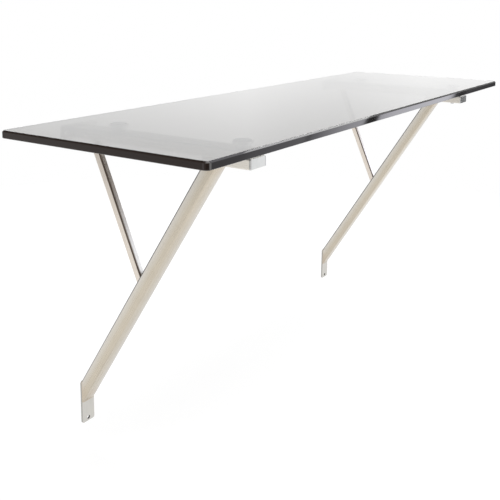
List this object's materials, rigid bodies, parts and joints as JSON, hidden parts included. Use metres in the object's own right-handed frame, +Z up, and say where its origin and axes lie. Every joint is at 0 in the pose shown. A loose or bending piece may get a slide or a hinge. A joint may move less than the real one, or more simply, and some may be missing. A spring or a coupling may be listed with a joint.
{
  "type": "wall-mounted desk",
  "caption": "Wall-mounted desk: a smoked glass top on disc stand-offs, carried by two Y-shaped tube brackets that screw flat to the wall.",
  "frame": {"origin": "on the wall plane, midway between the two brackets, at the height of the upper fixing holes, which is the arms' centreline", "axes": "+X along the wall to the user's right, +Y into the wall, +Z up"},
  "size_m": [1.5, 0.48, 0.68],
  "materials": {
    "smoked_glass": "dark grey tinted float glass with polished edges",
    "brushed_steel": "warm satin stainless steel tube, brushed lengthways",
    "cap_steel": "satin stainless steel cap, brushed across",
    "plate_steel": "satin stainless steel plate",
    "turned_steel": "turned stainless steel",
    "screw_steel": "stainless steel screws and washers",
    "clear_bond": "clear bonding pad"
  },
  "bodies": {
    "root": {"glass_top": "smoked_glass", "left_arm_tube": "brushed_steel", "left_arm_end_cap": "cap_steel", "left_upper_wall_plate": "plate_steel", "left_main_strut": "brushed_steel", "left_upper_strut": "brushed_steel", "left_lower_wall_plate": "plate_steel", "right_arm_tube": "brushed_steel", "right_arm_end_cap": "cap_steel", "right_upper_wall_plate": "plate_steel", "right_main_strut": "brushed_steel", "right_upper_strut": "brushed_steel", "right_lower_wall_plate": "plate_steel", "left_front_post": "turned_steel", "left_front_disc": "turned_steel", "left_front_bond_pad": "clear_bond", "left_front_sleeve": "turned_steel", "left_front_washer": "screw_steel", "left_front_screw": "screw_steel", "left_rear_post": "turned_steel", "left_rear_disc": "turned_steel", "left_rear_bond_pad": "clear_bond", "left_rear_sleeve": "turned_steel", "left_rear_washer": "screw_steel", "left_rear_screw": "screw_steel", "right_front_post": "turned_steel", "right_front_disc": "turned_steel", "right_front_bond_pad": "clear_bond", "right_front_sleeve": "turned_steel", "right_front_washer": "screw_steel", "right_front_screw": "screw_steel", "right_rear_post": "turned_steel", "right_rear_disc": "turned_steel", "right_rear_bond_pad": "clear_bond", "right_rear_sleeve": "turned_steel", "right_rear_washer": "screw_steel", "right_rear_screw": "screw_steel"}
  },
  "joints": []
}
